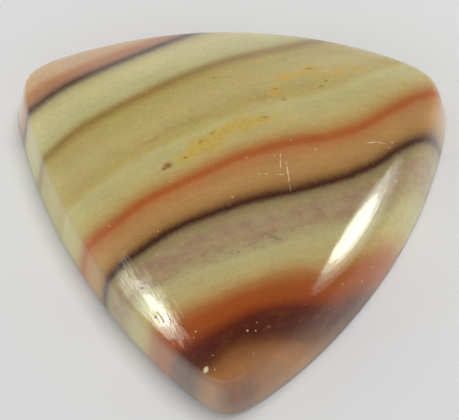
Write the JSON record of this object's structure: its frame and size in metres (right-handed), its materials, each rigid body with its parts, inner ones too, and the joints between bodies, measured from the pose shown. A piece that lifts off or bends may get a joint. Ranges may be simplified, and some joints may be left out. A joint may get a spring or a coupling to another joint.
{
  "type": "jasper cabochon",
  "caption": "Rounded-triangle cabochon of banded jasper with a flat back, a steep wall and a low polished dome.",
  "frame": {"origin": "middle of the box around the flat back, on the back face", "axes": "+Z out of the back through the dome, -Y towards the long corner, +X along the widest side"},
  "size_m": [0.028, 0.0276, 0.006],
  "materials": {
    "jasper": "polished, banded in yellow-green, tan, brick red and dark brown, with a finely ground back"
  },
  "bodies": {
    "root": {"cabochon": "jasper"}
  },
  "joints": []
}
